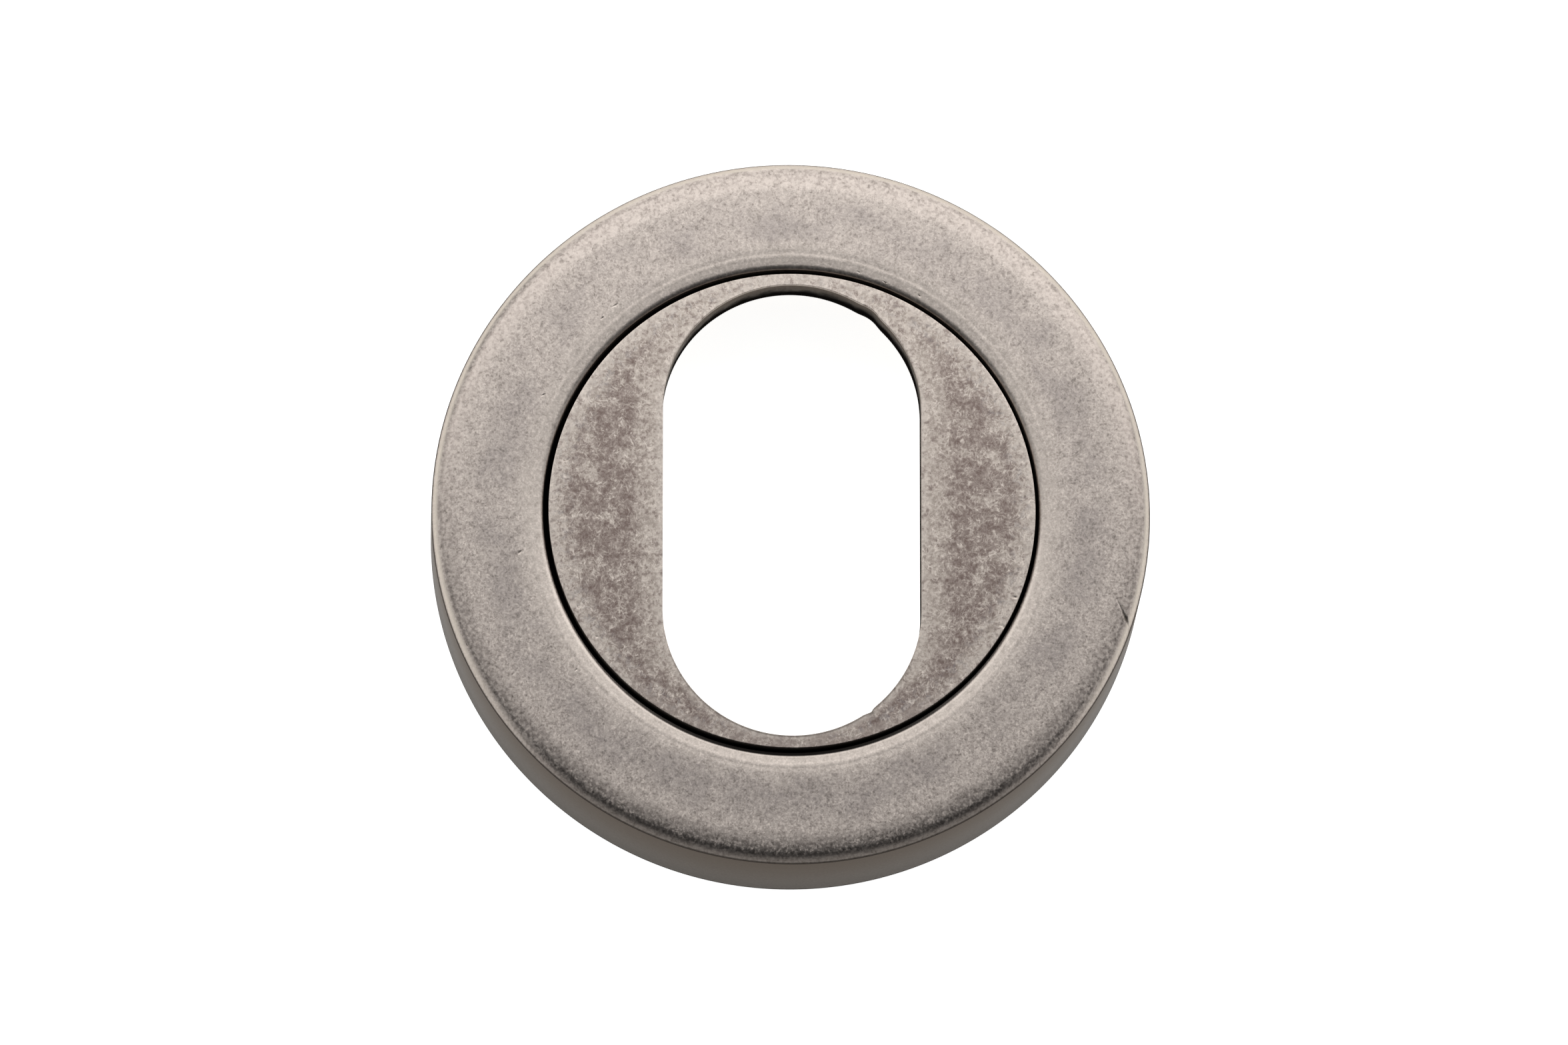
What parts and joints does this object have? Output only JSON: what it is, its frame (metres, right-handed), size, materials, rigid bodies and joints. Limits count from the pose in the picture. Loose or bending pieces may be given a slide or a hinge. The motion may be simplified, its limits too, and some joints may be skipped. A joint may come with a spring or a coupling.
{
  "type": "keyhole escutcheon",
  "caption": "Round door escutcheon with an oval opening for a lock cylinder, its screws hidden under a threaded cover, in distressed nickel.",
  "frame": {"origin": "centre of the back, on the surface of the door", "axes": "+Z out of the door towards the viewer, +Y up the door along the oval opening, +X across the door to the viewer's right"},
  "size_m": [0.052, 0.052, 0.01],
  "materials": {
    "distressed_nickel": "nickel plated, tumbled and darkened, fine speckle",
    "worn_nickel": "nickel plated, brown patina with light scratches and bright edges",
    "bare_brass": "turned, unplated"
  },
  "bodies": {
    "root": {"rose_cover": "distressed_nickel", "oval_insert": "worn_nickel", "base_plate": "bare_brass"}
  },
  "joints": []
}
